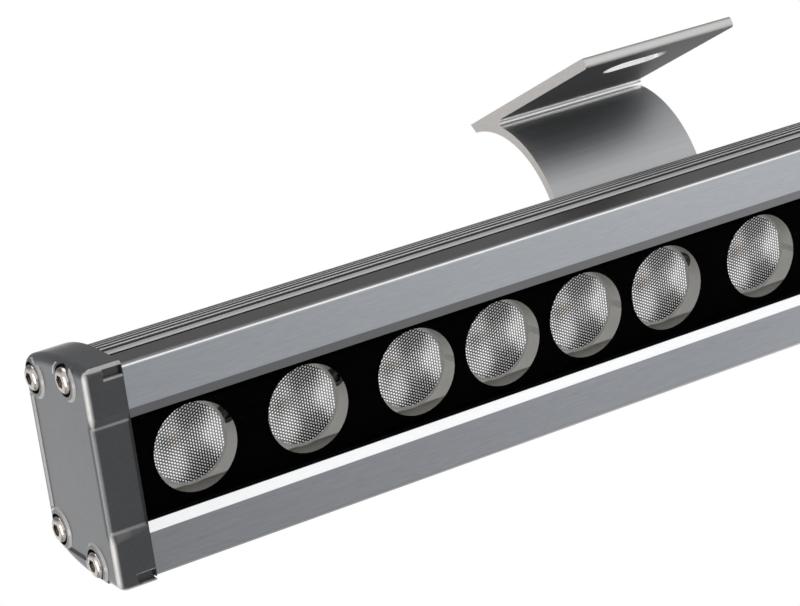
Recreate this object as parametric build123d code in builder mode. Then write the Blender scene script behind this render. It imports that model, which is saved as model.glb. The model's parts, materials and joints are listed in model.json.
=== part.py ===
import os
from math import asin, cos, degrees, radians, sin, sqrt

from build123d import *

os.makedirs("parts", exist_ok=True)

# Driving dimensions, in millimetres and degrees.
# The two bracket plates lie in the plane Z = 0 and the lamp hangs below them.
# In the lamp's own frame x runs along the bar, y from the glass to the back, z up.

# Lamp bar
lamp_length = 500.0
aim_down = 25.0
flange_front = -3.2
half_height = 25.5
back_face = 28.5
back_corner = 5.0
curve_start = 8.6
curve_radius = 40.1
front_edge = 1.1
overshoot = 1.0
thread_fit = 0.05

# Front opening and the channel behind it
flange_inner = 14.9
lip_inner = 12.5
lip_front = -2.35
lip_back = -2.05
channel_half = 15.2
channel_floor = 15.5
ledge_front = 1.0
ledge_back = 2.0
ledge_inner = 13.7

# Chambers, screw ports and rear slot of the housing
chamber_inner = 17.0
chamber_outer = 22.6
chamber_front = 1.5
chamber_back = 17.0
rear_chamber_front = 18.0
rear_chamber_back = 26.3
rear_chamber_inner = 9.2
rear_chamber_outer = 16.0
port_radius = 3.0
port_bore = 1.5
slot_mouth = 8.4
slot_width = 14.4
slot_floor = 20.5
slot_lip = 26.4

# Lengthwise grooves that leave the ribs on the top and the bottom: place, width, depth
fine_groove = (4.75, 0.6, 0.5)
first_groove = (8.75, 1.2, 0.9)
rib_groove_width = 0.9
rib_groove_depth = 0.8
rib_groove_starts = 2.64
rib_pitch = 2.25
rib_groove_count = 5

# End caps, gaskets and cap screws
cap_length = 10.0
cap_proud = 0.6
cap_half = 26.6
cap_curve_radius = 54.0
cap_back_corner = 4.6
cap_front_edge = 1.6
cap_end_edge = 2.4
cap_recess = 1.1
cap_slope = 2.4
cap_lower_slope = 2.6
cap_lower_joint_slope = 0.5
cap_panel_depth = 0.6
cap_border_width = 2.6
cap_strip_inner = 22.2
cap_boss_radius = 5.1
cap_border_draft = 45.0
cap_pocket = (2.0, 23.0, 13.0)
cap_pocket_corner = 2.4
cap_pocket_depth = 5.0
cap_notch_length = 4.8
cap_notch_depth = 1.6
cap_notch_span = (23.4, 25.8)
cap_notch_edge = 0.4
gasket_thickness = 0.3
gasket_inset = 0.1
screw_places = ((24.2, 18.7), (6.6, 22.3))
screw_head_radius = 3.2
screw_head_height = 2.7
screw_head_rim = 1.4
screw_socket = 2.8
screw_socket_depth = 1.5
screw_shank_radius = 1.45
screw_shank_length = 16.0
screw_recess_radius = 3.8
screw_recess_depth = 1.9
screw_clearance = 1.7

# Glass, seals and mask
glass_thickness = 2.0
glass_half = 14.9
seal_thickness = 0.95
mask_thickness = 0.25
mask_half = 12.7
window_diameter = 21.3
seal_gap = 0.1

# Lenses: single ones at the ends, then rows of four, six and four
narrow_pitch = 24.5
wide_pitch = 29.65
lens_groups = (1, 1, 4, 6, 4, 1, 1)
lens_front = 4.2
lens_flange_radius = 10.2
lens_flange_thickness = 1.2
lens_neck_radius = 9.7
lens_bowl = (8.3, 8.7)
lens_foot_radius = 3.9
lens_foot = 12.7
lens_cavity_radius = 2.9
lens_cavity_draft = 0.3
lens_cavity_depth = 4.0
lens_cavity_roof = 4.8
lens_leg_radius = 0.8
lens_leg_circle = 8.9
lens_leg_count = 3

# Board and what stands on it
board_thickness = 1.6
board_half = 14.0
board_length = 466.0
led_side = 3.45
led_base = 0.8
led_dome_radius = 1.5
board_screw_head = 2.25
board_screw_head_height = 1.7
board_screw_edge = 0.8
board_screw_socket = 1.0
board_screw_socket_depth = 0.9
board_screw_radius = 1.2
board_screw_bite = 2.2
board_hole_radius = 1.35
regulator_size = (5.0, 4.0, 1.5)
regulator_z = 11.2
terminal_size = (6.0, 4.4, 5.0)
terminal_x = 229.0
terminal_z = 11.4
terminal_hole = 0.8
terminal_hole_depth = 4.8

# Cable gland in the right cap
gland_y = 14.0
gland_thread_radius = 5.9
gland_thread_length = 6.0
gland_hex = 15.0
gland_hex_length = 5.0
gland_sleeve_radius = 5.8
gland_sleeve_length = 6.5
gland_bore = 4.6
gland_seal_fit = 0.02
gland_seal_length = 9.9
gland_seal_inset = 3.0
gland_nut_radius = 7.4
gland_nut_length = 10.0
gland_nut_gap = 0.2
gland_nut_roof = 2.6
gland_nut_mouth = 3.5
gland_nut_edge = 2.2
gland_washer_radius = 8.4
gland_washer_thickness = 1.0
cable_bore = 3.1

# Brackets
bracket_spacing = 140.5
bracket_width = 46.0
plate_thickness = 2.8
plate_length = 62.5
plate_slot = (18.5, 9.0)
slot_from_front = 13.5
leg_radius = 28.9
leg_centre_behind = 1.5
leg_thickness = 2.5
leg_straight = 16.1
leg_fillet = 1.2
knuckle_radius = 4.6
notch_height = 12.4
notch_depth = 18.0
plate_edge = 0.9
rear_slant = 1.4

# Pivot blocks and their fasteners
pivot_stand = 36.0
pivot_bore = 2.56
pivot_bolt_radius = 2.5
pivot_hex = 8.0
pivot_head_height = 3.5
pivot_nut_height = 4.0
pivot_washer_radius = 5.0
pivot_washer_thickness = 1.0
pivot_washer_bore = 2.65
pivot_bolt_tail = 1.5
block_width = 20.0
block_gap = 0.3
block_barrel_radius = 4.6
block_flange = (29.0, 31.4, 9.4)
block_neck = 8.0
block_foot_width = 13.8
block_foot = (21.2, 26.1)
block_screw_radius = 1.95
block_screw_hex = 2.0
block_screw_hex_depth = 1.8
block_screw_place = (5.5, 6.9)
block_screw_gap = 0.1

# Values that follow from the dimensions above
half_lamp = lamp_length / 2
half_housing = half_lamp - cap_length - gasket_thickness
board_front = channel_floor - board_thickness
plate_front = -slot_from_front
plate_rear = plate_front + plate_length
leg_centre_y = plate_rear + leg_centre_behind
leg_front = leg_centre_y - leg_radius
leg_rear = leg_front + leg_thickness
leg_inner_radius = leg_radius - leg_thickness
rear_tip = plate_rear - rear_slant
rear_tip_z = sqrt(leg_inner_radius**2 - (leg_centre_y - rear_tip) ** 2) - leg_radius
junction_y = leg_centre_y - sqrt(leg_radius**2 - (leg_radius - plate_thickness) ** 2)
pivot_y = leg_front + leg_thickness / 2
pivot_z = -leg_radius - leg_straight
bracket_centres = (-bracket_spacing / 2, bracket_spacing / 2)
sides = ("left", "right")

along = Vector(1, 0, 0)
inward = Vector(0, cos(radians(aim_down)), sin(radians(aim_down)))
upward = Vector(0, -sin(radians(aim_down)), cos(radians(aim_down)))
lamp_origin = Vector(0, pivot_y, pivot_z) - inward * pivot_stand


def spot(x, y, z):
    """A point given in the lamp's own frame."""
    return lamp_origin + along * x + inward * y + upward * z


def across(x):
    """Cross-section plane at x: its first axis runs to the back of the lamp, its second up."""
    return Plane(origin=spot(x, 0, 0), x_dir=inward, z_dir=along)


def facing(y):
    """Plane parallel to the glass at depth y: its normal points out of the lamp's front."""
    return Plane(origin=spot(0, y, 0), x_dir=along, z_dir=-inward)


def lengthwise(x, z):
    """Plane through a lens axis: its first axis runs along the bar, its second to the back."""
    return Plane(origin=spot(x, 0, z), x_dir=along, z_dir=upward)


def depth_axis(x, z):
    return Axis(spot(x, 0, z), inward)


def box_between(low, high, mode=Mode.ADD):
    """Rectangle in a cross-section sketch, from corner to corner."""
    with Locations(((low[0] + high[0]) / 2, (low[1] + high[1]) / 2)):
        Rectangle(high[0] - low[0], high[1] - low[1], mode=mode)


def cut_between(low, high):
    box_between(low, high, Mode.SUBTRACT)


def profile(front, top, radius, back, corner):
    """Section outline: flat on top and bottom, then curved down to the flat back."""
    reach = asin((back - curve_start) / radius)
    middle = (curve_start + radius * sin(reach / 2), top - radius * (1 - cos(reach / 2)))
    end = (back, top - radius * (1 - cos(reach)))
    with BuildLine(Plane.XY, mode=Mode.PRIVATE) as outline:
        Polyline((curve_start, -top), (front, -top), (front, top), (curve_start, top))
        ThreePointArc((curve_start, top), middle, end)
        Line(end, (end[0], -end[1]))
        ThreePointArc((end[0], -end[1]), (middle[0], -middle[1]), (curve_start, -top))
    make_face(outline.edges())
    fillet(vertices().group_by(Axis.X)[-1], corner)


def depth_of(edge):
    return (edge.center() - lamp_origin).dot(inward)


def reach_of(edge):
    return abs((edge.center() - lamp_origin).dot(upward))


def keep(piece, name):
    piece.part.label = name
    export_step(piece.part, f"parts/{name}.step")


def lens_places():
    """Lens centres along the bar: narrow steps inside a row, wide steps between rows."""
    places = []
    x = 0.0
    for row, count in enumerate(lens_groups):
        if row > 0:
            x += wide_pitch
        for step in range(count):
            if step > 0:
                x += narrow_pitch
            places.append(x)
    middle = places[-1] / 2
    return [place - middle for place in places]


lens_xs = lens_places()
wide_gaps = [
    (first + second) / 2
    for first, second in zip(lens_xs, lens_xs[1:])
    if second - first > (narrow_pitch + wide_pitch) / 2
]
all_screw_places = [(y, side * z) for y, z in screw_places for side in (1, -1)]
chamber_ports = [(y, z) for y, z in all_screw_places if y < chamber_back]

# Housing: one aluminium extrusion, open at the front, slotted at the back
with BuildPart() as housing:
    with BuildSketch(across(-half_housing)):
        profile(flange_front, half_height, curve_radius, back_face, back_corner)
        fillet(vertices().group_by(Axis.X)[0], front_edge)
        with BuildLine():
            Polyline(
                (flange_front - overshoot, flange_inner),
                (flange_front, flange_inner),
                (lip_front, lip_inner),
                (lip_back, lip_inner),
                (lip_back, -lip_inner),
                (lip_front, -lip_inner),
                (flange_front, -flange_inner),
                (flange_front - overshoot, -flange_inner),
                close=True,
            )
        make_face(mode=Mode.SUBTRACT)
        cut_between((lip_back, -channel_half), (ledge_front, channel_half))
        cut_between((ledge_front, -ledge_inner), (ledge_back, ledge_inner))
        cut_between((ledge_back, -channel_half), (channel_floor, channel_half))
        for side in (1, -1):
            chamber = sorted((side * chamber_inner, side * chamber_outer))
            cut_between((chamber_front, chamber[0]), (chamber_back, chamber[1]))
            rear = sorted((side * rear_chamber_inner, side * rear_chamber_outer))
            cut_between((rear_chamber_front, rear[0]), (rear_chamber_back, rear[1]))
            for y, width, depth in (fine_groove, first_groove):
                with Locations((y, side * half_height)):
                    Rectangle(width, 2 * depth, mode=Mode.SUBTRACT)
            for rib in range(rib_groove_count):
                turn = (rib_groove_starts + rib * rib_pitch) / curve_radius
                groove_y = curve_start + curve_radius * sin(turn)
                groove_z = half_height - curve_radius * (1 - cos(turn))
                with Locations(Location((groove_y, side * groove_z), -side * degrees(turn))):
                    Rectangle(rib_groove_width, 2 * rib_groove_depth, mode=Mode.SUBTRACT)
        cut_between((slot_floor, -slot_width / 2), (slot_lip, slot_width / 2))
        cut_between((slot_lip, -slot_mouth / 2), (back_face, slot_mouth / 2))
        with Locations(*chamber_ports):
            Circle(port_radius)
        with Locations(*all_screw_places):
            Circle(port_bore, mode=Mode.SUBTRACT)
    extrude(amount=2 * half_housing)
    with BuildSketch(facing(channel_floor)):
        with Locations(*[(x, 0) for x in wide_gaps]):
            Circle(board_screw_radius + thread_fit)
    extrude(amount=-board_screw_bite, mode=Mode.SUBTRACT)
keep(housing, "housing")

# End caps: die-cast, hollow on the inner side, the front stepped to follow the housing's lips
cap_front = flange_front - cap_proud
cap_back = back_face + cap_proud
recess_floor = cap_front + cap_recess


def recess_outline(lower_slope):
    """Cutter for the sunk middle of a cap's front face; the lower slope widens to the end."""
    run_out = 2 * cap_recess
    upper = lip_inner + cap_slope * run_out / cap_recess
    lower = -lip_inner - lower_slope * run_out / cap_recess
    return (
        (recess_floor - run_out, upper),
        (recess_floor, lip_inner),
        (recess_floor, -lip_inner),
        (recess_floor - run_out, lower),
    )


def cap_block(side, length):
    """A cap's outer form up to the given length, with the sunk middle of its front face."""
    joint_x = side * (half_lamp - cap_length)
    end_x = joint_x + side * length
    with BuildPart() as block:
        with BuildSketch(across(joint_x)):
            profile(cap_front, cap_half, cap_curve_radius, cap_back, cap_back_corner)
        extrude(amount=side * length)
        recess_ends = (
            (end_x + side * overshoot, cap_lower_slope),
            (joint_x - side * overshoot, cap_lower_joint_slope),
        )
        for x, slope in recess_ends:
            with BuildSketch(across(x)):
                with BuildLine():
                    Polyline(*recess_outline(slope), close=True)
                make_face()
        loft(ruled=True, mode=Mode.SUBTRACT)
        outer = 0 if side < 0 else -1
        end_edges = edges().group_by(Axis.X)[outer]
        fillet([edge for edge in end_edges if depth_of(edge) > 0], cap_end_edge)
        end_edges = edges().group_by(Axis.X)[outer]
        front_edges = [edge for edge in end_edges if depth_of(edge) < 0]
        front_edges += [edge for edge in edges() if depth_of(edge) < 0 and reach_of(edge) > half_height]
        fillet(front_edges, cap_front_edge)
    return block


notch_low, notch_high = cap_notch_span
notch_outline = (
    (cap_front + cap_notch_edge, notch_low),
    (cap_front + cap_notch_depth, notch_low),
    (cap_front + cap_notch_depth, notch_high),
    (cap_front - overshoot, notch_high),
    (cap_front - overshoot, notch_low - cap_notch_edge - overshoot),
)

for side, side_name in zip((-1, 1), sides):
    end_x = side * half_lamp
    panel_x = end_x - side * cap_panel_depth
    joint_x = end_x - side * cap_length
    low_block = cap_block(side, cap_length - cap_panel_depth)
    full_block = cap_block(side, cap_length)

    # Raised border along the back, the top and the bottom, and round the screws
    with BuildPart() as border:
        for rise, draft in ((cap_panel_depth, cap_border_draft), (-cap_end_edge, 0)):
            with BuildSketch(across(panel_x)):
                with Locations(*all_screw_places):
                    Circle(cap_boss_radius)
            extrude(amount=side * rise, taper=draft)
            with BuildSketch(across(panel_x)):
                box_between((cap_back - cap_border_width, -cap_half), (cap_back + overshoot, cap_half))
            extrude(amount=side * rise, taper=draft)
            for edge in (1, -1):
                strip = sorted((edge * cap_strip_inner, edge * (cap_half + overshoot)))
                with BuildSketch(across(panel_x)):
                    box_between((screw_places[1][0], strip[0]), (cap_back, strip[1]))
                extrude(amount=side * rise, taper=draft)
        add(full_block.part, mode=Mode.INTERSECT)

    with BuildPart() as end_cap:
        add(low_block.part)
        add(border.part)
        with BuildSketch(across(end_x)):
            with Locations(*all_screw_places):
                Circle(screw_recess_radius)
        extrude(amount=-side * screw_recess_depth, mode=Mode.SUBTRACT)
        with BuildSketch(across(end_x)):
            with Locations(*all_screw_places):
                Circle(screw_clearance)
        extrude(amount=-side * cap_length, mode=Mode.SUBTRACT)
        # Pocket behind the panel
        with BuildSketch(across(joint_x)):
            box_between((cap_pocket[0], -cap_pocket[2]), (cap_pocket[1], cap_pocket[2]))
            fillet(vertices(), cap_pocket_corner)
        extrude(amount=side * cap_pocket_depth, mode=Mode.SUBTRACT)
        # Small notches under the front corners of the joint
        for edge in (1, -1):
            with BuildSketch(across(joint_x)):
                with BuildLine():
                    Polyline(*[(y, edge * z) for y, z in notch_outline], close=True)
                make_face()
            extrude(amount=side * cap_notch_length, mode=Mode.SUBTRACT)
        if side > 0:
            with BuildSketch(across(end_x)):
                with Locations((gland_y, 0)):
                    Circle(gland_thread_radius + thread_fit)
            extrude(amount=-side * cap_length, mode=Mode.SUBTRACT)
    keep(end_cap, f"end_cap_{side_name}")

    # Gasket between cap and housing
    with BuildPart() as cap_gasket:
        with BuildSketch(across(joint_x)):
            profile(
                flange_front + gasket_inset,
                half_height - gasket_inset,
                curve_radius - gasket_inset,
                back_face - gasket_inset,
                back_corner - gasket_inset,
            )
            cut_between((cap_pocket[0], -cap_pocket[2]), (cap_pocket[1], cap_pocket[2]))
            with Locations(*all_screw_places):
                Circle(screw_clearance, mode=Mode.SUBTRACT)
        extrude(amount=-side * gasket_thickness)
    keep(cap_gasket, f"cap_gasket_{side_name}")

    # Button-head screws with hex sockets
    seat_x = end_x - side * screw_recess_depth
    crown_x = seat_x + side * screw_head_height
    with BuildPart() as cap_screws:
        with BuildSketch(across(seat_x)):
            with Locations(*all_screw_places):
                Circle(screw_head_radius)
        extrude(amount=side * screw_head_height)
        crown_edges = edges().group_by(Axis.X)[0 if side < 0 else -1]
        fillet(crown_edges, screw_head_height - screw_head_rim)
        with BuildSketch(across(seat_x)):
            with Locations(*all_screw_places):
                Circle(screw_shank_radius)
        extrude(amount=-side * screw_shank_length)
        with BuildSketch(across(crown_x)):
            with Locations(*all_screw_places):
                RegularPolygon(screw_socket / 2, 6, major_radius=False)
        extrude(amount=-side * screw_socket_depth, mode=Mode.SUBTRACT)
    keep(cap_screws, f"cap_screws_{side_name}")

# Front glass, slid into the grooves behind the lips
with BuildPart() as front_glass:
    with BuildSketch(across(-half_housing)):
        box_between((-glass_thickness, -glass_half), (0, glass_half))
    extrude(amount=2 * half_housing)
keep(front_glass, "front_glass")

# Silicone strips between the glass edges and the ledges
for edge, edge_name in ((1, "upper"), (-1, "lower")):
    strip = sorted((edge * (mask_half + seal_gap), edge * glass_half))
    with BuildPart() as glass_seal:
        with BuildSketch(across(-half_housing)):
            box_between((0, strip[0]), (seal_thickness, strip[1]))
        extrude(amount=2 * half_housing)
    keep(glass_seal, f"glass_seal_{edge_name}")

# Black mask with a round window over each lens
with BuildPart() as lens_mask:
    with BuildSketch(facing(mask_thickness)):
        Rectangle(2 * half_housing, 2 * mask_half)
        with Locations(*[(x, 0) for x in lens_xs]):
            Circle(window_diameter / 2, mode=Mode.SUBTRACT)
    extrude(amount=mask_thickness)
keep(lens_mask, "lens_mask")

# Collimator lenses: a flanged bowl over each LED, on three legs
for number, x in enumerate(lens_xs, start=1):
    flange_back = lens_front + lens_flange_thickness
    with BuildPart() as lens:
        with BuildSketch(lengthwise(x, 0)):
            with BuildLine():
                Polyline(
                    (0, lens_foot - lens_cavity_roof),
                    (0, lens_front),
                    (lens_flange_radius, lens_front),
                    (lens_flange_radius, flange_back),
                    (lens_neck_radius, flange_back),
                )
                ThreePointArc(
                    (lens_neck_radius, flange_back),
                    lens_bowl,
                    (lens_foot_radius, lens_foot),
                )
                Polyline(
                    (lens_foot_radius, lens_foot),
                    (lens_cavity_radius, lens_foot),
                    (lens_cavity_radius - lens_cavity_draft, lens_foot - lens_cavity_depth),
                    (0, lens_foot - lens_cavity_roof),
                )
            make_face()
        revolve(axis=depth_axis(x, 0))
        with BuildSketch(facing(board_front)):
            with Locations((x, 0)):
                with PolarLocations(lens_leg_circle, lens_leg_count, start_angle=90):
                    Circle(lens_leg_radius)
        extrude(amount=board_front - flange_back)
    keep(lens, f"lens_{number:02d}")

# Aluminium-cored board on the web of the housing
with BuildPart() as led_board:
    with BuildSketch(facing(channel_floor)):
        Rectangle(board_length, 2 * board_half)
        with Locations(*[(x, 0) for x in wide_gaps]):
            Circle(board_hole_radius, mode=Mode.SUBTRACT)
    extrude(amount=board_thickness)
keep(led_board, "led_board")

# LEDs: a square base with a clear dome, one under each lens
with BuildPart() as led_packages:
    with BuildSketch(facing(board_front)):
        with Locations(*[(x, 0) for x in lens_xs]):
            Rectangle(led_side, led_side)
    extrude(amount=led_base)
    for x in lens_xs:
        with Locations(spot(x, board_front - led_base, 0)):
            Sphere(led_dome_radius)
    with BuildSketch(facing(board_front)):
        Rectangle(board_length, 2 * board_half)
    extrude(amount=-2 * led_dome_radius, mode=Mode.SUBTRACT)
keep(led_packages, "led_packages")

# Board screws, in the wide gaps between the lens rows
with BuildPart() as board_screws:
    with BuildSketch(facing(board_front)):
        with Locations(*[(x, 0) for x in wide_gaps]):
            Circle(board_screw_head)
    extrude(amount=board_screw_head_height)
    fillet(edges().group_by(Axis(lamp_origin, inward))[0], board_screw_edge)
    with BuildSketch(facing(board_front)):
        with Locations(*[(x, 0) for x in wide_gaps]):
            Circle(board_screw_radius)
    extrude(amount=-(board_thickness + board_screw_bite))
    with BuildSketch(facing(board_front - board_screw_head_height)):
        with Locations(*[(x, 0) for x in wide_gaps]):
            RegularPolygon(board_screw_socket, 6)
    extrude(amount=-board_screw_socket_depth, mode=Mode.SUBTRACT)
keep(board_screws, "board_screws")

# Current regulators beside the wide gaps, one for each row of LEDs
with BuildPart() as current_regulators:
    with BuildSketch(facing(board_front)):
        with Locations(*[(x, regulator_z) for x in wide_gaps]):
            Rectangle(regulator_size[0], regulator_size[1])
    extrude(amount=regulator_size[2])
keep(current_regulators, "current_regulators")

# Terminal block at the right end of the board
with BuildPart() as terminal_block:
    with BuildSketch(facing(board_front)):
        with Locations((terminal_x, terminal_z)):
            Rectangle(terminal_size[0], terminal_size[1])
    extrude(amount=terminal_size[2])
    with BuildSketch(across(terminal_x + terminal_size[0] / 2)):
        with Locations((board_front - terminal_size[2] / 2, terminal_z)):
            with GridLocations(0, terminal_size[1] / 2, 1, 2):
                Circle(terminal_hole)
    extrude(amount=-terminal_hole_depth, mode=Mode.SUBTRACT)
keep(terminal_block, "terminal_block")

# Cable gland: washer, body, rubber bush and dome nut
gland_face = half_lamp - cap_panel_depth
gland_shoulder = gland_face + gland_washer_thickness
gland_hex_end = gland_shoulder + gland_hex_length
gland_sleeve_end = gland_hex_end + gland_sleeve_length

with BuildPart() as gland_washer:
    with BuildSketch(across(gland_face)):
        with Locations((gland_y, 0)):
            Circle(gland_washer_radius)
            Circle(gland_thread_radius + thread_fit, mode=Mode.SUBTRACT)
    extrude(amount=gland_washer_thickness)
keep(gland_washer, "gland_washer")

with BuildPart() as gland_body:
    with BuildSketch(across(gland_face - gland_thread_length)):
        with Locations((gland_y, 0)):
            Circle(gland_thread_radius)
    extrude(amount=gland_thread_length + gland_washer_thickness)
    with BuildSketch(across(gland_shoulder)):
        with Locations((gland_y, 0)):
            RegularPolygon(gland_hex / 2, 6, major_radius=False)
    extrude(amount=gland_hex_length)
    with BuildSketch(across(gland_hex_end)):
        with Locations((gland_y, 0)):
            Circle(gland_sleeve_radius)
    extrude(amount=gland_sleeve_length)
    with BuildSketch(across(gland_face - gland_thread_length)):
        with Locations((gland_y, 0)):
            Circle(gland_bore)
    extrude(amount=gland_thread_length + gland_sleeve_end - gland_face, mode=Mode.SUBTRACT)
keep(gland_body, "gland_body")

with BuildPart() as gland_seal:
    with BuildSketch(across(gland_hex_end - gland_seal_inset)):
        with Locations((gland_y, 0)):
            Circle(gland_bore - gland_seal_fit)
            Circle(cable_bore, mode=Mode.SUBTRACT)
    extrude(amount=gland_seal_length)
keep(gland_seal, "gland_seal")

nut_barrel_length = gland_nut_length - gland_nut_roof
with BuildPart() as gland_nut:
    with BuildSketch(across(gland_hex_end + gland_nut_gap)):
        with Locations((gland_y, 0)):
            Circle(gland_nut_radius)
            Circle(gland_sleeve_radius + thread_fit, mode=Mode.SUBTRACT)
    extrude(amount=nut_barrel_length)
    with BuildSketch(across(gland_hex_end + gland_nut_gap + nut_barrel_length)):
        with Locations((gland_y, 0)):
            Circle(gland_nut_radius)
            Circle(gland_nut_mouth, mode=Mode.SUBTRACT)
    extrude(amount=gland_nut_roof)
    dome_edges = edges().filter_by(GeomType.CIRCLE).group_by(Axis.X)[-1].sort_by(SortBy.RADIUS)
    fillet(dome_edges[-1], gland_nut_edge)
keep(gland_nut, "gland_nut")

# Brackets, pivot blocks and their fasteners, one set behind each side of the bar
for centre, side_name in zip(bracket_centres, sides):
    near = centre - bracket_width / 2
    block_near = centre - block_width / 2

    # Extruded bracket: flat slotted plate, quarter-round leg, two knuckles round the pivot
    with BuildPart() as bracket:
        with BuildSketch(Plane(origin=(near, 0, 0), x_dir=(0, 1, 0), z_dir=(1, 0, 0))):
            with BuildLine():
                Line((leg_rear, pivot_z), (leg_rear, -leg_radius))
                RadiusArc((leg_rear, -leg_radius), (rear_tip, rear_tip_z), leg_inner_radius)
                Polyline(
                    (rear_tip, rear_tip_z),
                    (plate_rear, 0),
                    (plate_front, 0),
                    (plate_front, -plate_thickness),
                    (junction_y, -plate_thickness),
                )
                RadiusArc((junction_y, -plate_thickness), (leg_front, -leg_radius), -leg_radius)
                Polyline((leg_front, -leg_radius), (leg_front, pivot_z), (leg_rear, pivot_z))
            make_face()
            fillet(vertices().sort_by_distance((junction_y, -plate_thickness))[0], leg_fillet)
            fillet(vertices().group_by(Axis.X)[0], plate_edge)
            with Locations((pivot_y, pivot_z)):
                Circle(knuckle_radius)
                Circle(pivot_bore, mode=Mode.SUBTRACT)
        extrude(amount=bracket_width)
        with BuildSketch(Plane.XY):
            with Locations((centre, 0)):
                SlotOverall(plate_slot[0], plate_slot[1])
        extrude(amount=-plate_thickness, mode=Mode.SUBTRACT)
        with Locations((centre, pivot_y, pivot_z)):
            Box(block_width + 2 * block_gap, notch_depth, notch_height, mode=Mode.SUBTRACT)
    keep(bracket, f"bracket_{side_name}")

    # Pivot block: a T foot in the housing's rear slot and a barrel between the knuckles
    with BuildPart() as pivot_block:
        with BuildSketch(across(block_near)):
            box_between((block_foot[0], -block_foot_width / 2), (block_foot[1], block_foot_width / 2))
            box_between((block_foot[1], -block_neck / 2), (block_flange[0], block_neck / 2))
            box_between((block_flange[0], -block_flange[2]), (block_flange[1], block_flange[2]))
            box_between((block_flange[0], -block_barrel_radius), (pivot_stand, block_barrel_radius))
            with Locations((pivot_stand, 0)):
                Circle(block_barrel_radius)
                Circle(pivot_bore, mode=Mode.SUBTRACT)
        extrude(amount=block_width)
        with BuildSketch(facing(block_flange[1])):
            with Locations((centre, 0)):
                with GridLocations(2 * block_screw_place[0], 2 * block_screw_place[1], 2, 2):
                    Circle(block_screw_radius + thread_fit)
        extrude(amount=block_flange[1] - block_flange[0], mode=Mode.SUBTRACT)
    keep(pivot_block, f"pivot_block_{side_name}")

    # Set screws that bear on the housing's back and lock the block
    with BuildPart() as block_screws:
        with BuildSketch(facing(back_face + block_screw_gap)):
            with Locations((centre, 0)):
                with GridLocations(2 * block_screw_place[0], 2 * block_screw_place[1], 2, 2):
                    Circle(block_screw_radius)
        extrude(amount=-(block_flange[1] - back_face - block_screw_gap))
        with BuildSketch(facing(block_flange[1])):
            with Locations((centre, 0)):
                with GridLocations(2 * block_screw_place[0], 2 * block_screw_place[1], 2, 2):
                    RegularPolygon(block_screw_hex / 2, 6, major_radius=False)
        extrude(amount=block_screw_hex_depth, mode=Mode.SUBTRACT)
    keep(block_screws, f"block_screws_{side_name}")

    # Pivot bolt, washers and nut
    pivot_plane = Plane(origin=(near, pivot_y, pivot_z), x_dir=(0, 1, 0), z_dir=(1, 0, 0))
    with BuildPart() as pivot_washers:
        with BuildSketch(pivot_plane, pivot_plane.offset(bracket_width + pivot_washer_thickness)):
            Circle(pivot_washer_radius)
            Circle(pivot_washer_bore, mode=Mode.SUBTRACT)
        extrude(amount=-pivot_washer_thickness)
    keep(pivot_washers, f"pivot_washers_{side_name}")

    with BuildPart() as pivot_bolt:
        with BuildSketch(pivot_plane.offset(-pivot_washer_thickness)):
            RegularPolygon(pivot_hex / 2, 6, major_radius=False)
        extrude(amount=-pivot_head_height)
        with BuildSketch(pivot_plane.offset(-pivot_washer_thickness)):
            Circle(pivot_bolt_radius)
        extrude(amount=bracket_width + 2 * pivot_washer_thickness + pivot_nut_height + pivot_bolt_tail)
    keep(pivot_bolt, f"pivot_bolt_{side_name}")

    with BuildPart() as pivot_nut:
        with BuildSketch(pivot_plane.offset(bracket_width + pivot_washer_thickness)):
            RegularPolygon(pivot_hex / 2, 6, major_radius=False)
            Circle(pivot_bolt_radius + thread_fit, mode=Mode.SUBTRACT)
        extrude(amount=pivot_nut_height)
    keep(pivot_nut, f"pivot_nut_{side_name}")

print("lens centres", [round(x, 2) for x in lens_xs])
print("pivot", round(pivot_y, 3), round(pivot_z, 3), "lamp origin", lamp_origin)
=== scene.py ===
import json
from math import cos, pi, radians, sin, sqrt

import bpy
from mathutils import Matrix, Vector


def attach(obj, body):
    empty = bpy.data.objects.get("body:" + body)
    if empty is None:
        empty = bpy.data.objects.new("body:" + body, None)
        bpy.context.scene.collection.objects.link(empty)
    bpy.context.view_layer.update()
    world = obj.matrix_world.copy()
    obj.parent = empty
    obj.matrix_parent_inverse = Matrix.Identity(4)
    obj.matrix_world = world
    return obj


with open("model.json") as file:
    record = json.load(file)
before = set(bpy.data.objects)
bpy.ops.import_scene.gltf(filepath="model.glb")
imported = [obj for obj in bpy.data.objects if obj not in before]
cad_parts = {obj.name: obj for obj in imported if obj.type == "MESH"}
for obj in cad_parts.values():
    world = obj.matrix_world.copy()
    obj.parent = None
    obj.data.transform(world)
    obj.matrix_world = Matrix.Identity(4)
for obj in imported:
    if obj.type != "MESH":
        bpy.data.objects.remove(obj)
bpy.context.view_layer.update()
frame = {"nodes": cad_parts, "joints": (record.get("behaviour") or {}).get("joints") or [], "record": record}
nodes = frame["nodes"]
record = frame["record"]

# Housing: one aluminium bar, extruded with ribs along its top and bottom and a slot along its back.
# Its front flanges are brushed lengthwise, and the whole bar is anodised a cool grey.


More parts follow.
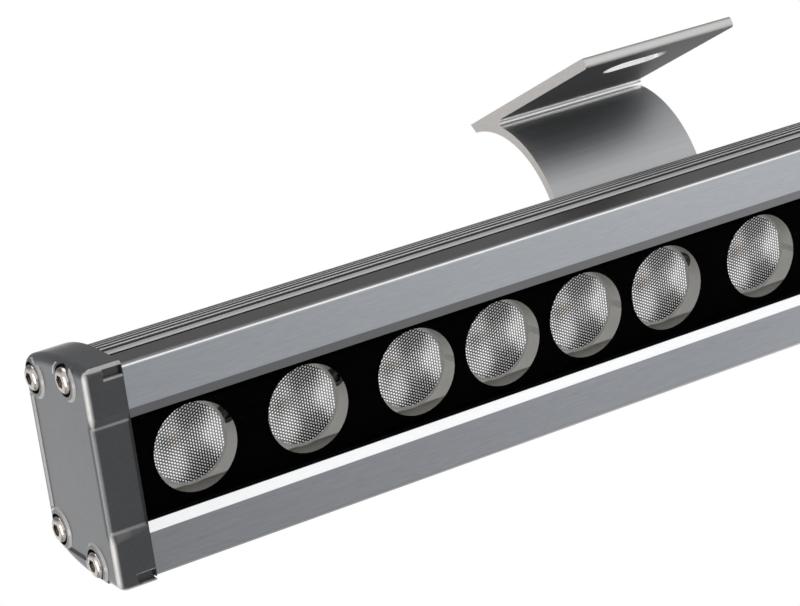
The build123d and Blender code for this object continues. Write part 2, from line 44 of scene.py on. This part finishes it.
class Shade:
    """A socket of a shader, so that sums on it can be written as plain expressions."""

    def __init__(self, tree, socket=None):
        self.tree = tree
        self.socket = socket

    def node(self, kind, settings=(), sockets=(), output=0):
        """Adds a node of any kind: its settings first, then the values or links of its sockets."""
        made = self.tree.nodes.new(kind)
        for name, value in dict(settings).items():
            setattr(made, name, value)
        for key, value in dict(sockets).items():
            if isinstance(value, Shade):
                self.tree.links.new(value.socket, made.inputs[key])
            else:
                made.inputs[key].default_value = value
        return Shade(self.tree, made.outputs[output])

    def sum(self, operation, first, second=0.0):
        return self.node("ShaderNodeMath", {"operation": operation}, {0: first, 1: second})

    def __add__(self, other):
        return self.sum("ADD", self, other)

    __radd__ = __add__

    def __sub__(self, other):
        return self.sum("SUBTRACT", self, other)

    def __rsub__(self, other):
        return self.sum("SUBTRACT", other, self)

    def __mul__(self, other):
        return self.sum("MULTIPLY", self, other)

    __rmul__ = __mul__

    def __truediv__(self, other):
        return self.sum("DIVIDE", self, other)

    def __abs__(self):
        return self.sum("ABSOLUTE", self)

    def ease(self, low, high):
        """0 below low, 1 above high, smooth between them."""
        return self.node(
            "ShaderNodeMapRange",
            {"interpolation_type": "SMOOTHSTEP"},
            {"Value": self, "From Min": low, "From Max": high},
        )


def finish(name, **constants):
    """A new material with one surface shader; what is the same all over is set on its sockets."""
    material = bpy.data.materials.new(name)
    material.use_nodes = True
    surface = material.node_tree.nodes["Principled BSDF"]
    for socket, value in constants.items():
        surface.inputs[socket.replace("_", " ")].default_value = value
    return material, Shade(material.node_tree), surface


def feed(surface, **shades):
    """Links what changes over the surface to the shader's sockets."""
    for socket, shade in shades.items():
        shade.tree.links.new(shade.socket, surface.inputs[socket.replace("_", " ")])


def tint(part, first, second):
    """A colour that goes from first to second as part goes from 0 to 1."""
    sockets = {0: part, 6: first, 7: second}
    return part.node("ShaderNodeMix", {"data_type": "RGBA"}, sockets, output=2)


def grain(shader, scale, detail=3.0, roughness=0.6):
    """Noise whose cells are as many to the metre as scale says, along X, Y and Z."""
    place = shader.node("ShaderNodeTexCoord", output="Object")
    stretched = shader.node("ShaderNodeVectorMath", {"operation": "MULTIPLY"}, {0: place, 1: scale})
    sockets = {"Vector": stretched, "Scale": 1.0, "Detail": detail, "Roughness": roughness}
    return shader.node("ShaderNodeTexNoise", {}, sockets)


def relief(shader, height, strength):
    """A bump that is at most a tenth of a millimetre high."""
    sockets = {"Height": height, "Strength": strength, "Distance": 0.0001}
    return shader.node("ShaderNodeBump", {}, sockets)


def along(shader, direction, start):
    """How far a place lies from start in one direction, in millimetres."""
    place = shader.node("ShaderNodeTexCoord", output="Object")
    sockets = {0: place, 1: direction}
    run = shader.node("ShaderNodeVectorMath", {"operation": "DOT_PRODUCT"}, sockets, output="Value")
    return (run - start.dot(direction)) * 1000


def stripe(distance, place, half, soft):
    """1 near place, and 0 further from it than half, with soft sides."""
    return (half - abs(distance - place)).ease(0.0, soft)


def dress(material, *names):
    """Gives a material to pieces of the frame."""
    for name in names:
        nodes[name].data.materials.clear()
        nodes[name].data.materials.append(material)


lamp_aim = radians(25)
lengthwise = Vector((1, 0, 0))
inward = Vector((0, cos(lamp_aim), sin(lamp_aim)))
upward = Vector((0, -sin(lamp_aim), cos(lamp_aim)))
middle = Vector()
pivot = Vector(frame["joints"][0]["pos_m"])
pivot_stand = 0.036
glass_back = pivot - inward * pivot_stand

flange_depth = -2.9
lip_depth = -2.1
lip_edge = 15.0
edge_depth = -2.85
edge_height = 24.55
ledge_depth = -2.0
band_end = 4.3
half_height = 25.5
curve_start = 8.6
curve_radius = 40.1
rib_start = 5.2
rib_end = 22.0
rib_sink = 1.2
rib_pitch = 2.25
first_groove = 8.6
fine_groove = 4.65
curve_grooves = [2.45 + rib_pitch * number for number in range(5)]
groove_inner = 15.3
channel_edge = 15.5
channel_front = 0.5

anodised, shader, surface = finish("housing_anodised", Specular_IOR_Level=0.25)
depth = along(shader, inward, glass_back)
height = along(shader, upward, glass_back)
spread = abs(height)
flange = (flange_depth - depth).ease(-0.2, 0.2)
lip = (lip_edge - spread).ease(0.0, 0.2) * (lip_depth - depth).ease(0.0, 0.1)
lower = (0.0 - height).ease(-1.0, 1.0)
bow = shader.sum("MAXIMUM", depth - curve_start, 0.0)
rise = spread + (curve_radius - half_height)
sunk = curve_radius - shader.sum("SQRT", bow * bow + rise * rise)
ribbed = depth.ease(rib_start - 0.2, rib_start) * (1 - depth.ease(rib_end - 0.5, rib_end + 0.5))
ribbed = ribbed * (1 - sunk.ease(rib_sink, rib_sink + 0.4))
turned = shader.sum("ARCTAN2", bow, rise) * curve_radius
groove_shade = stripe(depth, first_groove, 1.0, 0.35)
for place in curve_grooves:
    groove_shade = groove_shade + stripe(turned, place, 0.84, 0.3)
groove_shade = shader.sum("MINIMUM", groove_shade * ribbed + stripe(depth, fine_groove, 0.65, 0.25), 1.0)
groove_shade = groove_shade * spread.ease(groove_inner, groove_inner + 0.3)
top = spread.ease(edge_height, edge_height + 0.25)
edge_highlight = top * (edge_depth - depth).ease(0.0, 0.1)
ledge_shade = top * (ledge_depth - depth).ease(0.0, 0.12) * (1 - edge_highlight)
band = top * (1 - ribbed) * depth.ease(ledge_depth - 0.12, ledge_depth)
band = band * (1 - depth.ease(band_end, band_end + 0.3))
inside = (channel_edge - spread).ease(0.0, 0.2) * depth.ease(channel_front, channel_front + 0.5)
streaks = grain(shader, (240, 4200, 4200), detail=4.0, roughness=0.75)
drawn = grain(shader, (6, 1500, 1500), detail=4.0)
cloud = grain(shader, (14, 20, 20), detail=2.0)
tone = 0.5 + (streaks - 0.5) * (0.35 + 0.65 * flange) + (drawn - 0.5) * 0.3 + (cloud - 0.5) * 0.2
skin = tint(tone, (0.3, 0.315, 0.34, 1), (0.5, 0.52, 0.55, 1))
# Painted shade on the lower flange, a painted highlight on the lower lip and painted shade on the upper lip.
skin = tint(flange * lower * (1 - lip), skin, tint(tone, (0.23, 0.24, 0.26, 1), (0.4, 0.415, 0.44, 1)))
skin = tint(lip * lower, skin, tint(tone, (0.7, 0.71, 0.72, 1), (0.92, 0.93, 0.94, 1)))
skin = tint(lip * (1 - lower), skin, (0.2, 0.203, 0.21, 1))
# Painted highlight along the front edges at the top and bottom of the bar.
skin = tint(edge_highlight, skin, tint(tone, (0.42, 0.42, 0.42, 1), (0.62, 0.62, 0.62, 1)))
# Painted shade on the ledge behind those edges and on the flat band before the ribs.
skin = tint(ledge_shade, skin, tint(tone, (0.16, 0.16, 0.163, 1), (0.26, 0.26, 0.265, 1)))
skin = tint(band, skin, tint(tone, (0.14, 0.137, 0.134, 1), (0.24, 0.236, 0.23, 1)))
# Rib tops: painted light, fading to painted shade where the bar curves away, and painted shade on the first
# rib.
first_rib_shade = (1 - depth.ease(8.0, 9.0)) * depth.ease(5.8, 6.9)
rib_light_and_shade = tint(drawn, (0.76, 0.76, 0.76, 1), (0.94, 0.94, 0.94, 1))
rib_light_and_shade = tint(turned.ease(2.0, 12.0), rib_light_and_shade, tint(drawn, (0.55, 0.55, 0.55, 1), (0.7, 0.7, 0.7, 1)))
rib_light_and_shade = tint(first_rib_shade, rib_light_and_shade, (0.6, 0.6, 0.6, 1))
skin = tint(ribbed, skin, rib_light_and_shade)
# Painted shade: the grooves and a little to each side of them are near black.
skin = tint(groove_shade, skin, (0.015, 0.015, 0.016, 1))
# Painted light: the channel's inner walls are lighter than the rest of the bar.
skin = tint(inside, skin, tint(cloud, (0.5, 0.49, 0.47, 1), (0.66, 0.65, 0.62, 1)))
feed(
    surface,
    Base_Color=skin,
    Metallic=(0.9 - 0.75 * ribbed - 0.6 * inside) * (1 - groove_shade),
    Roughness=0.27 + 0.16 * streaks + 0.15 * ribbed + 0.3 * groove_shade - 0.15 * edge_highlight,
    Normal=relief(shader, streaks, 0.12),
)
dress(anodised, "housing")

# End caps: die-cast covers over both ends of the bar, painted satin grey.
# Each is hollow inside and drawn against its gasket by four screws.
# Highlights are painted along the sharp edges, the creases, the notches, the back border and round the screw
# bosses.
screw_places = ((24.2, 18.7), (6.6, 22.3))
recess_radius = 3.85
boss_edge = 4.85
front_depth = -2.5
rim_depth = -2.0
rim_end = 248.2
rim_spread = 25.5
crease_depth = -2.2
crease_spread = 12.5
notch_end = 244.9
notch_edges = (23.3, 24.9)
raised_end = 249.3
border_depth = 26.7
border_half = 14.0
edge_half = 0.35

paint, shader, surface = finish("cap_paint", Specular_IOR_Level=0.3, Coat_Weight=0.8, Coat_Roughness=0.1)
peel = grain(shader, (1100, 1100, 1100), detail=3.0)
cast = grain(shader, (120, 120, 120), detail=4.0)
depth = along(shader, inward, glass_back)
spread = abs(along(shader, upward, glass_back))
# Painted shade: the screw recesses are near black.
recess_shade = 0.0
ring = 0.0
for screw_depth, screw_spread in screw_places:
    off_depth = depth - screw_depth
    off_spread = spread - screw_spread
    off_screw = shader.sum("SQRT", off_depth * off_depth + off_spread * off_spread)
    recess_shade = recess_shade + (recess_radius - off_screw).ease(-0.1, 0.05)
    ring = ring + stripe(off_screw, boss_edge, 0.4, 0.2)
end = abs(along(shader, lengthwise, middle))
fore = (front_depth - depth).ease(0.0, 0.5)
# Places for painted highlights: the front edges, the creases of the front recess, the notches' edges, the
# back border and round the screw bosses.
highlight_places = (rim_depth - depth).ease(0.0, 0.8) * (end - rim_end).ease(0.0, 0.8)
highlight_places = highlight_places + fore * (spread - rim_spread).ease(0.0, 0.4)
highlight_places = highlight_places + 0.6 * stripe(spread, crease_spread, 0.6, 0.6) * (crease_depth - depth).ease(0.0, 0.3)
notch = (notch_end - end).ease(0.0, 0.1) * fore
for notch_edge in notch_edges:
    highlight_places = highlight_places + notch * stripe(spread, notch_edge, edge_half, 0.2)
raised = (end - raised_end).ease(0.0, 0.1)
border = stripe(depth, border_depth, edge_half, 0.2) * (border_half - spread).ease(0.0, 0.5)
highlight_places = highlight_places + 0.4 * raised * border
highlight_places = highlight_places + 0.7 * raised * ring
# Painted highlight: a pale colour over those places, stronger in patches.
painted_highlight = shader.sum("MINIMUM", highlight_places, 1.0) * (0.45 + 0.7 * cast)
coat = tint(0.6 * peel + 0.4 * cast, (0.034, 0.036, 0.04, 1), (0.082, 0.086, 0.093, 1))
coat = tint(painted_highlight, coat, (0.8, 0.785, 0.76, 1))
feed(
    surface,
    Base_Color=tint(recess_shade, coat, (0.006, 0.006, 0.006, 1)),
    Roughness=0.34 + 0.16 * cast,
    Normal=relief(shader, peel, 0.12),
)
dress(paint, "end_cap_left", "end_cap_right")

# Cap gaskets and the gland's washer and bush: black rubber, cut from sheet or moulded.
# They show only as a thin dark line at each joint.
rubber, shader, surface = finish("gasket_rubber", Roughness=0.75)
mottle = grain(shader, (700, 700, 700))
feed(
    surface,
    Base_Color=tint(mottle, (0.008, 0.008, 0.008, 1), (0.028, 0.028, 0.028, 1)),
    Normal=relief(shader, mottle, 0.2),
)
dress(rubber, "cap_gasket_left", "cap_gasket_right", "gland_washer", "gland_seal")

# Screws, bolts, nuts and washers: bright stainless steel, cold-headed and rolled.
# The end caps' screws have round heads with hex sockets.
# The screws that hold the board are of blackened steel.
steel, shader, surface = finish("stainless_steel", Metallic=1.0)
scuff = grain(shader, (1500, 1500, 1500), detail=4.0)
feed(
    surface,
    Base_Color=tint(scuff, (0.34, 0.3, 0.27, 1), (0.74, 0.69, 0.65, 1)),
    Roughness=0.1 + 0.14 * scuff,
    Normal=relief(shader, scuff, 0.1),
)
for side in ("left", "right"):
    dress(
        steel,
        f"cap_screws_{side}",
        f"block_screws_{side}",
        f"pivot_washers_{side}",
        f"pivot_bolt_{side}",
        f"pivot_nut_{side}",
    )

blackened, shader, surface = finish("blackened_steel", Metallic=1.0)
scuff = grain(shader, (1500, 1500, 1500), detail=4.0)
feed(
    surface,
    Base_Color=tint(scuff, (0.08, 0.077, 0.073, 1), (0.2, 0.195, 0.188, 1)),
    Roughness=0.3 + 0.2 * scuff,
)
dress(blackened, "board_screws")

# Front glass: a clear strip slid into the grooves behind the flanges' lips.
# It shows only as a faint gloss over the black front.
pane, shader, surface = finish(
    "clear_glass", Base_Color=(0.002, 0.002, 0.002, 1), Roughness=0.03, Specular_IOR_Level=0.02
)
smear = grain(shader, (30, 60, 60))
feed(surface, Alpha=0.002 + 0.004 * smear)
dress(pane, "front_glass")

# Seal strips: soft black silicone, extruded as two flat ribbons.
# They are pressed between the edges of the glass and the ledges of the housing.
silicone, shader, surface = finish("seal_silicone", Roughness=0.6, Specular_IOR_Level=0.1)
pores = grain(shader, (200, 400, 400))
feed(surface, Base_Color=tint(pores, (0.001, 0.001, 0.001, 1), (0.004, 0.004, 0.004, 1)))
dress(silicone, "glass_seal_upper", "glass_seal_lower")

# Mask: a matt black strip behind the glass, with a round window over each lens.
# It hides the board, so that the front looks like one black band.
mask_black, shader, surface = finish("mask_black", Specular_IOR_Level=0.01)
dull = grain(shader, (400, 400, 400))
feed(
    surface,
    Base_Color=tint(dull, (0.0006, 0.0006, 0.0007, 1), (0.0014, 0.0014, 0.0016, 1)),
    Roughness=0.5 + 0.2 * dull,
)
dress(mask_black, "lens_mask")

# Lenses: clear acrylic bowls, one over each LED, moulded with three legs.
# The front of each is covered with fine beads that spread the beam.
# The bowls glow faintly, as painted light.
acrylic, shader, surface = finish(
    "lens_acrylic", Roughness=0.12, Alpha=0.7, Emission_Color=(1, 1, 0.97, 1), Emission_Strength=0.09
)
haze = grain(shader, (160, 160, 160))
feed(surface, Base_Color=tint(haze, (0.44, 0.44, 0.43, 1), (0.58, 0.58, 0.56, 1)))

narrow_pitch = 0.0245
wide_pitch = 0.02965
lens_rows = (1, 1, 4, 6, 4, 1, 1)
lens_front = 0.0042
lens_places = []
reach = 0.0
for row, count in enumerate(lens_rows):
    reach += wide_pitch if row else 0.0
    for step in range(count):
        reach += narrow_pitch if step else 0.0
        lens_places.append(reach)
lens_places = [place - reach / 2 for place in lens_places]

bead_pitch = 0.000776
bead_rise = 0.00022
bead_round = 0.75
bead_floor = 0.03
bead_field = 0.0095
bead_flat = 0.009
bead_steps = 4
row_height = sqrt(0.75)


def bead_sheet():
    """A round field of beads on a triangular lattice, with a flat at each side."""
    step = bead_pitch / bead_steps
    rows = int(bead_field / (step * row_height)) + 1
    columns = int(bead_field / step) + 1 + rows // 2
    corners = {}
    places = []
    for j in range(-rows, rows + 1):
        for i in range(-columns, columns + 1):
            x = j * row_height * step
            z = (i + j / 2) * step
            if x * x + z * z > bead_field * bead_field or abs(x) > bead_flat:
                continue
            nearest = min(
                ((i - a) ** 2 + (j - b) ** 2 + (i - a) * (j - b))
                for a in (i // bead_steps * bead_steps, (i // bead_steps + 1) * bead_steps)
                for b in (j // bead_steps * bead_steps, (j // bead_steps + 1) * bead_steps)
            )
            fall = nearest / (bead_steps / 2) ** 2
            height = bead_rise * max(1 - fall * bead_round, bead_floor)
            corners[i, j] = len(places)
            places.append(lengthwise * x + upward * z - inward * height)
    faces = []
    for i, j in corners:
        right = corners.get((i + 1, j))
        up = corners.get((i, j + 1))
        down = corners.get((i + 1, j - 1))
        if right is not None and up is not None:
            faces.append((corners[i, j], up, right))
        if right is not None and down is not None:
            faces.append((corners[i, j], right, down))
    sheet = bpy.data.meshes.new("lens_beads")
    sheet.from_pydata(places, [], faces)
    sheet.shade_smooth()
    return sheet


# The beads carry painted light: a painted glint on each bead, lighter and darker patches across the field,
# painted shade between the glints and a painted warm patch where the LED shows through. The same painted
# light makes them glow.
beaded, shader, surface = finish("lens_beads", Emission_Strength=1.0)
crown = along(shader, -inward, middle) / (bead_rise * 1000)
across = along(shader, lengthwise, middle)
rise = along(shader, upward, middle)
turn = shader.sum("ARCTAN2", rise, across)
sweep = grain(shader, (130, 130, 130), detail=1.0)
fan = shader.sum("COSINE", turn * 3) * (across * across + rise * rise).ease(1.0, 30.0)
sides = 0.05 * (abs(across) - abs(rise))
light = (0.45 + 0.2 * fan + 1.1 * (sweep - 0.5) + sides + 0.015 * rise).ease(0.0, 1.0)
facing = shader.node("ShaderNodeTexCoord", output="Normal")
lean = [
    shader.node("ShaderNodeVectorMath", {"operation": "DOT_PRODUCT"}, {0: facing, 1: axis}, output="Value")
    for axis in (lengthwise, upward)
]
third = 2 * pi / 3
sector = shader.sum("ROUND", turn / third) * third
ahead = shader.sum("COSINE", sector)
aside = shader.sum("SINE", sector)
outward = abs(lean[0] * ahead + lean[1] * aside)
sideways = abs(lean[1] * ahead - lean[0] * aside)
# Painted glint on each bead.
dot = (crown + 0.3 * sideways - 0.32 * outward).ease(0.6, 0.88) * (0.35 + 0.65 * light)
gap = 0.2 * light * light
shine = dot + (1 - dot) * gap
glow = tint(shine, (0.0, 0.0, 0.0, 1), (0.9, 0.9, 0.9, 1))
# Painted warm patch where the LED shows through the lens.
warm_across = across + 3.6
warm_rise = rise - 2.4
warm = 1 - (warm_across * warm_across + warm_rise * warm_rise).ease(0.5, 5.0)
feed(
    surface,
    Base_Color=tint(0.3 * warm, glow, (0.4, 0.28, 0.17, 1)),
    Emission_Color=glow,
    Roughness=0.2 + 0.1 * sweep,
)
sheet = bead_sheet()
sheet.materials.append(beaded)
for number, place in enumerate(lens_places, start=1):
    dress(acrylic, f"lens_{number:02d}")
    beads = bpy.data.objects.new(f"lens_beads_{number:02d}", sheet)
    beads.location = glass_back + lengthwise * place + inward * lens_front
    bpy.context.scene.collection.objects.link(beads)
    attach(beads, "lamp")

# LED board: an aluminium-cored strip under white lacquer, screwed to the housing's web.
# It carries an LED under each lens, a regulator beside each gap and a terminal block.
# The gland's body and nut are moulded in the same black plastic as the regulators.
# The lacquer glows faintly as painted light, less towards the top, and it is browner and darker towards the
# top.
lacquer, shader, surface = finish("board_lacquer", Roughness=0.45, Emission_Strength=1.0)
flecks = grain(shader, (500, 500, 500), detail=4.0)
towards_top = along(shader, upward, glass_back).ease(-8.0, 5.0)
white = tint(flecks, (0.58, 0.575, 0.55, 1), (0.68, 0.67, 0.645, 1))
brown = tint(flecks, (0.38, 0.37, 0.34, 1), (0.48, 0.465, 0.43, 1))
feed(
    surface,
    Base_Color=tint(towards_top, white, brown),
    Emission_Color=tint(towards_top, (0.17, 0.166, 0.158, 1), (0.06, 0.058, 0.053, 1)),
)
dress(lacquer, "led_board")

dome_depth = 13.2
phosphor, shader, surface = finish("led_phosphor", Roughness=0.25, Coat_Weight=0.5)
dome = (dome_depth - along(shader, inward, glass_back)).ease(0, 0.2)
feed(surface, Base_Color=tint(dome, (0.7, 0.7, 0.68, 1), (0.85, 0.55, 0.12, 1)))
dress(phosphor, "led_packages")

moulding, shader, surface = finish("black_moulding", Roughness=0.5)
pits = grain(shader, (900, 900, 900))
feed(
    surface,
    Base_Color=tint(pits, (0.012, 0.012, 0.012, 1), (0.035, 0.035, 0.036, 1)),
    Normal=relief(shader, pits, 0.15),
)
dress(moulding, "current_regulators", "gland_body", "gland_nut")

terminal, shader, surface = finish("terminal_white", Roughness=0.5)
pits = grain(shader, (900, 900, 900))
feed(surface, Base_Color=tint(pits, (0.66, 0.66, 0.63, 1), (0.75, 0.75, 0.72, 1)))
dress(terminal, "terminal_block")

# Brackets and pivot blocks: slices of extruded aluminium, sawn off, drilled and anodised.
# Each bracket's plate bolts to a surface and its leg turns on the block in the rear slot.
slots = record["mounts"][0]["dims"]
bracket_centre = slots["spacing_x_mm"] / 2
slot_radius = slots["hole_r_mm"]
slot_straight = slots["slot_length_mm"] / 2 - slot_radius
front_edge = -12.8
fillet_back = 33.59
fillet_height = -4.0
fillet_radius = 1.2

drawn_metal, shader, surface = finish("bracket_aluminium", Metallic=1.0, Specular_Tint=(0.22, 0.22, 0.22, 1))
facing = shader.node("ShaderNodeTexCoord", output="Normal")
end = shader.node("ShaderNodeSeparateXYZ", {}, {0: facing}, output="X")
sawn = abs(end).ease(0.8, 0.95)
across = along(shader, lengthwise, middle)
back = along(shader, Vector((0, 1, 0)), middle)
from_slot = shader.sum("MAXIMUM", abs(abs(across) - bracket_centre) - slot_straight, 0.0)
from_slot = from_slot * from_slot + back * back
milled = 1 - from_slot.ease((slot_radius + 0.05) ** 2, (slot_radius + 0.2) ** 2)
front = (front_edge - back).ease(-0.1, 0.3)
off_back = back - fillet_back
off_height = along(shader, Vector((0, 0, 1)), middle) - fillet_height
off_fillet = off_back * off_back + off_height * off_height
hollow = 1 - off_fillet.ease((fillet_radius + 0.02) ** 2, (fillet_radius + 0.25) ** 2)
under = (0.0 - shader.node("ShaderNodeSeparateXYZ", {}, {0: facing}, output="Z")).ease(0.9, 0.98)
lines = grain(shader, (8, 1600, 1600), detail=4.0)
sawing = grain(shader, (1600, 300, 1600), detail=4.0)
skin = tint(lines, (0.32, 0.324, 0.33, 1), (0.44, 0.445, 0.453, 1))
# Painted highlight along the fillet between plate and leg, brightest half-way round it.
highlight_core = (abs(off_back * off_height) * 2 / off_fillet).ease(0.2, 1.0)
skin = tint(hollow * (0.5 + 0.5 * highlight_core), skin, (1.0, 1.0, 0.99, 1))
skin = tint(front, skin, (0.46, 0.46, 0.45, 1))
skin = tint(milled, skin, (0.9, 0.9, 0.89, 1))
cut = tint(sawing, (0.5, 0.48, 0.46, 1), (0.64, 0.62, 0.6, 1))
feed(
    surface,
    Base_Color=tint(sawn, skin, cut),
    Roughness=0.44 + 0.1 * lines - 0.1 * under - 0.15 * hollow,
    Normal=relief(shader, lines * (1 - sawn) * (1 - hollow) + sawing * sawn, 0.08),
)
for side in ("left", "right"):
    dress(drawn_metal, f"bracket_{side}", f"pivot_block_{side}")

# Stage: a pale floor under the lamp, pale walls all round and a dim ceiling.
# A tall soft lamp stands to the left, one hangs above, and a low one stands in front.
floor_size = 1.5
floor_level = -0.6
floor_sides = 48

floor_turns = [2 * pi * number / floor_sides for number in range(floor_sides)]
floor_rim = [(floor_size * cos(turn), floor_size * sin(turn), floor_level) for turn in floor_turns]
floor_mesh = bpy.data.meshes.new("floor")
floor_mesh.from_pydata(floor_rim, [], [tuple(range(floor_sides))])
floor = bpy.data.objects.new("floor", floor_mesh)
bpy.context.scene.collection.objects.link(floor)
pale, shader, surface = finish("floor_pale", Roughness=0.8, Emission_Strength=1.0)
mirrored = shader.node("ShaderNodeLightPath", output="Is Glossy Ray")
looked_at = shader.node("ShaderNodeLightPath", output="Is Camera Ray")
bright_side = along(shader, lengthwise, middle).ease(-100, 700)
bright = mirrored * (0.12 + 0.88 * bright_side) + 0.4 * looked_at
feed(
    surface,
    Base_Color=tint(grain(shader, (5, 5, 5)), (0.78, 0.78, 0.78, 1), (0.84, 0.84, 0.84, 1)),
    Emission_Color=tint(bright, (0, 0, 0, 1), (1, 1, 1, 1)),
)
floor_mesh.materials.append(pale)

world = bpy.data.worlds.new("studio")
bpy.context.scene.world = world
world.use_nodes = True
shader = Shade(world.node_tree)
background = world.node_tree.nodes["Background"]
sky = shader.node("ShaderNodeTexCoord", output="Generated")
lift = shader.node("ShaderNodeSeparateXYZ", {}, {0: sky}, output="Z")
behind = shader.node("ShaderNodeSeparateXYZ", {}, {0: sky}, output="Y")
ceiling = (lift + 0.5 * behind).ease(0.5, 0.9)
seen = shader.node("ShaderNodeLightPath", output="Is Camera Ray")
shiny = shader.node("ShaderNodeLightPath", output="Is Glossy Ray")
through = shader.node("ShaderNodeLightPath", output="Is Transmission Ray")
shown = shader.sum("MAXIMUM", shader.sum("MAXIMUM", seen, shiny), through)
walls = tint(ceiling * (1 - seen), (1, 1, 1, 1), (0.26, 0.26, 0.27, 1))
feed(background, Color=walls, Strength=0.3 + 0.7 * shown)


def soft_lamp(name, place, target, size, watts):
    """A rectangular lamp at a place, turned to shine on a target."""
    lamp = bpy.data.lights.new(name, "AREA")
    lamp.shape = "RECTANGLE"
    lamp.size, lamp.size_y = size
    lamp.energy = watts
    stand = bpy.data.objects.new(name, lamp)
    stand.location = place
    aim = Vector(target) - Vector(place)
    stand.rotation_euler = aim.to_track_quat("-Z", "Y").to_euler()
    bpy.context.scene.collection.objects.link(stand)


soft_lamp("key_lamp", (-1.0, -0.02, -0.2), (-0.25, -0.01, -0.2), (0.4, 0.7), 4.2)
soft_lamp("top_lamp", (-0.2, -0.15, 1.2), (-0.1, 0, -0.05), (0.8, 0.8), 4.5)
soft_lamp("front_lamp", (0.46, -1.1, 0.12), (-0.1, 0, -0.05), (0.9, 0.7), 1.7)

# Camera: a long lens in front of the bar's left end, level with the bar's underside.
# It is rolled, so that the bar rises to the right.
camera_place = (-0.47567, -0.60238, -0.0846)
right = Vector((0.84175, -0.42148, -0.33737))
up = Vector((0.27191, -0.20887, 0.93938))
ahead = Vector((0.4664, 0.8825, 0.0612))

camera = bpy.data.cameras.new("camera")
camera.sensor_width = 36.0
camera.lens = 128.27
view = bpy.data.objects.new("camera", camera)
turn = Matrix((right, up, -ahead)).transposed()
view.matrix_world = Matrix.Translation(camera_place) @ turn.to_4x4()
bpy.context.scene.collection.objects.link(view)
bpy.context.scene.camera = view
bpy.context.scene.view_settings.view_transform = "Standard"
